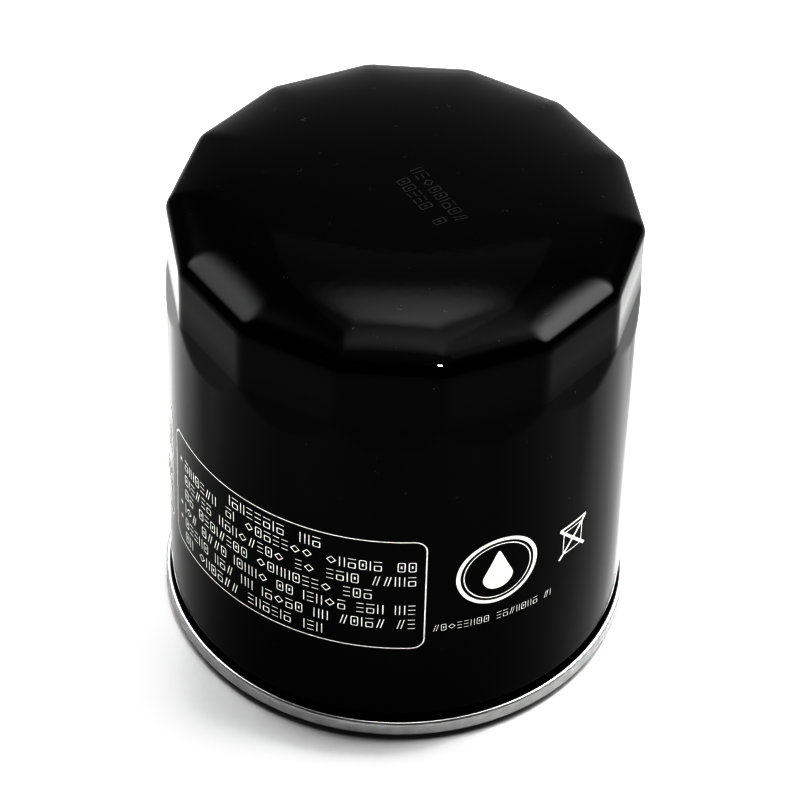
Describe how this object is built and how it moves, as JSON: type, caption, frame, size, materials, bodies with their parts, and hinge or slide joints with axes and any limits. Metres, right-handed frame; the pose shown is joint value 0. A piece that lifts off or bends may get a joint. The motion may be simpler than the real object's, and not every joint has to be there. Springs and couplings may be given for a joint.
{
  "type": "spin-on oil filter",
  "caption": "Small spin-on engine oil filter: fluted black steel can seamed to a threaded base, standing on its gasket, with sprung element and bypass valve inside.",
  "frame": {"origin": "centre of the gasket's sealing face, on the surface the filter stands on", "axes": "+Z along the filter's axis towards the domed end, -Y towards the printed front"},
  "size_m": [0.0776, 0.0776, 0.0848],
  "materials": {
    "enamel": "gloss black stoved enamel on steel sheet",
    "tinplate": "satin tin-plated steel sheet",
    "steel": "plain oiled pressed steel",
    "spring_steel": "drawn spring wire",
    "nitrile": "matt moulded nitrile rubber",
    "silicone": "moulded silicone rubber, rust red",
    "sealing_compound": "dried sealing compound",
    "plastisol": "cured plastisol",
    "filter_paper": "resin-treated pleated filter paper"
  },
  "bodies": {
    "root": {"can": "enamel", "seaming_lid": "tinplate", "seam_sealant": "sealing_compound", "sealing_gasket": "nitrile", "tapping_plate": "steel", "anti_drainback_valve": "silicone", "support_spring": "spring_steel"},
    "element": {"inlet_end_cap": "tinplate", "dome_end_cap": "tinplate", "inlet_adhesive": "plastisol", "dome_adhesive": "plastisol", "centre_tube": "tinplate", "filter_media": "filter_paper", "media_clip": "steel", "bypass_seat": "steel", "bypass_cage": "steel", "bypass_spring": "spring_steel"},
    "bypass_plunger": {"bypass_plunger": "steel", "bypass_seal": "nitrile"}
  },
  "joints": [
    {"name": "element_lift", "type": "slide", "parent": "root", "child": "element", "axis": [0, 0, 1], "range_m": [0, 0.0015], "stiffness_N_per_m": 3600, "springref_m": -0.011, "deforming": ["support_spring"]},
    {"name": "bypass_opening", "type": "slide", "parent": "element", "child": "bypass_plunger", "axis": [0, 0, -1], "range_m": [0, 0.0035], "stiffness_N_per_m": 1800, "springref_m": -0.0055, "deforming": ["bypass_spring"]}
  ]
}
